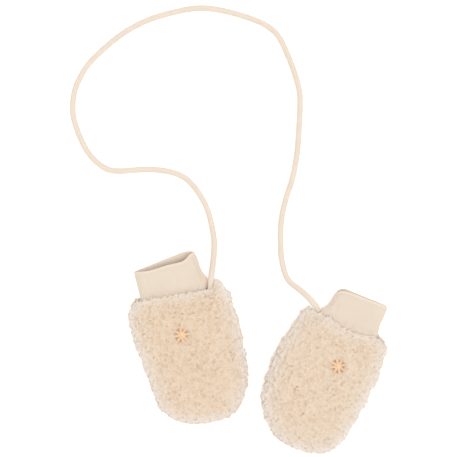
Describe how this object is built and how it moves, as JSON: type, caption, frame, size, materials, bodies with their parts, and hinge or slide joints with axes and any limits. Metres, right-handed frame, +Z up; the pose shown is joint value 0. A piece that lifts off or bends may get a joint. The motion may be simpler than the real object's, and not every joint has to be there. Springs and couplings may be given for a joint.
{
  "type": "pair of baby mittens",
  "caption": "Thumbless baby mittens in deep-pile fleece with folded jersey cuffs, joined by a round cord, lying flat and open at the wrists.",
  "frame": {"origin": "on the surface that the mittens lie on, under the middle of the two mittens' bounds, cord left out", "axes": "+X from the left mitten to the right one, +Y from their tips towards the cord's loop, +Z up"},
  "size_m": [0.2723, 0.3844, 0.0232],
  "materials": {
    "pile_fleece": "cream curly pile, matt",
    "cuff_jersey": "smooth cream jersey, matt",
    "cord_cotton": "cream cotton cord, matt",
    "embroidery": "peach sewing thread, satin"
  },
  "bodies": {
    "root": {"left_front_panel": "pile_fleece", "left_back_panel": "pile_fleece", "left_cuff": "cuff_jersey", "right_front_panel": "pile_fleece", "right_back_panel": "pile_fleece", "right_cuff": "cuff_jersey", "cord": "cord_cotton"}
  },
  "joints": []
}
